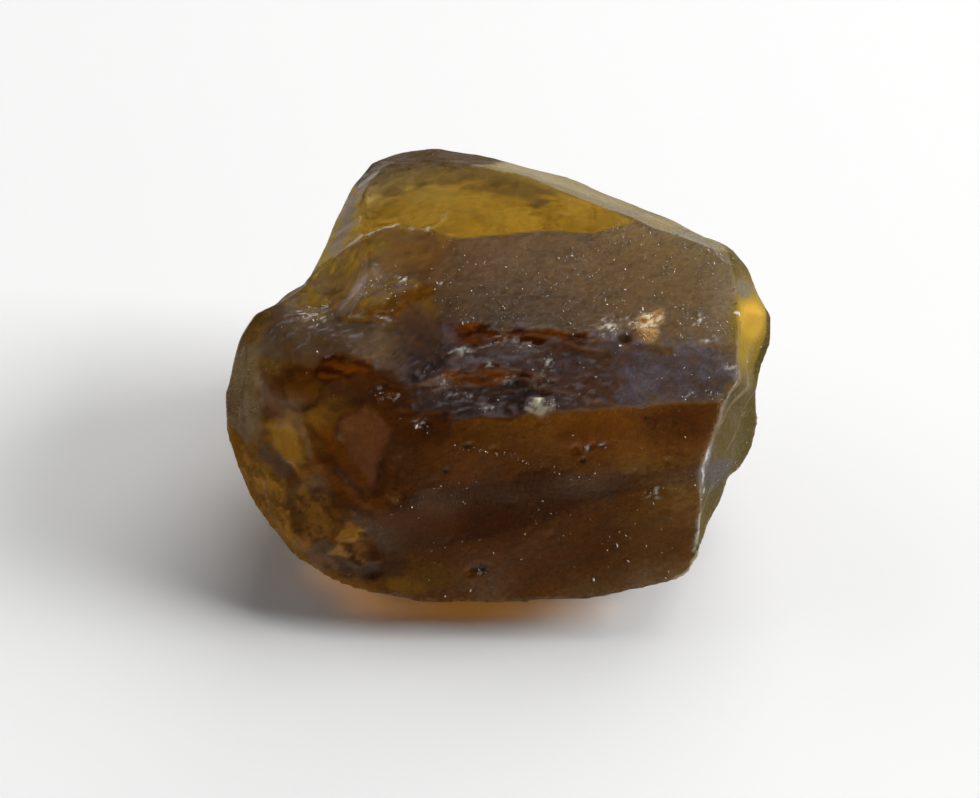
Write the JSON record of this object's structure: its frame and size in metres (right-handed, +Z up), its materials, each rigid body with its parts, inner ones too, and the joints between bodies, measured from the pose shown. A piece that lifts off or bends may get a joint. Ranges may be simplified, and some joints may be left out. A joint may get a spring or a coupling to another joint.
{
  "type": "rough garnet",
  "caption": "Rough piece of see-through garnet with flat and conchoidal break faces, a stepped ledge and small pits.",
  "frame": {"origin": "middle of the flat face that the stone rests on", "axes": "+X along the stone's length, from the rounded left lobe to the right break; +Y from the long front face to the back; +Z up, out of the face at rest"},
  "size_m": [0.01, 0.0081, 0.0053],
  "materials": {
    "garnet": "brown to olive-yellow see-through crystal, glossy on fresh breaks and frosted on the table, with dull white edges"
  },
  "bodies": {
    "root": {"garnet": "garnet"}
  },
  "joints": []
}
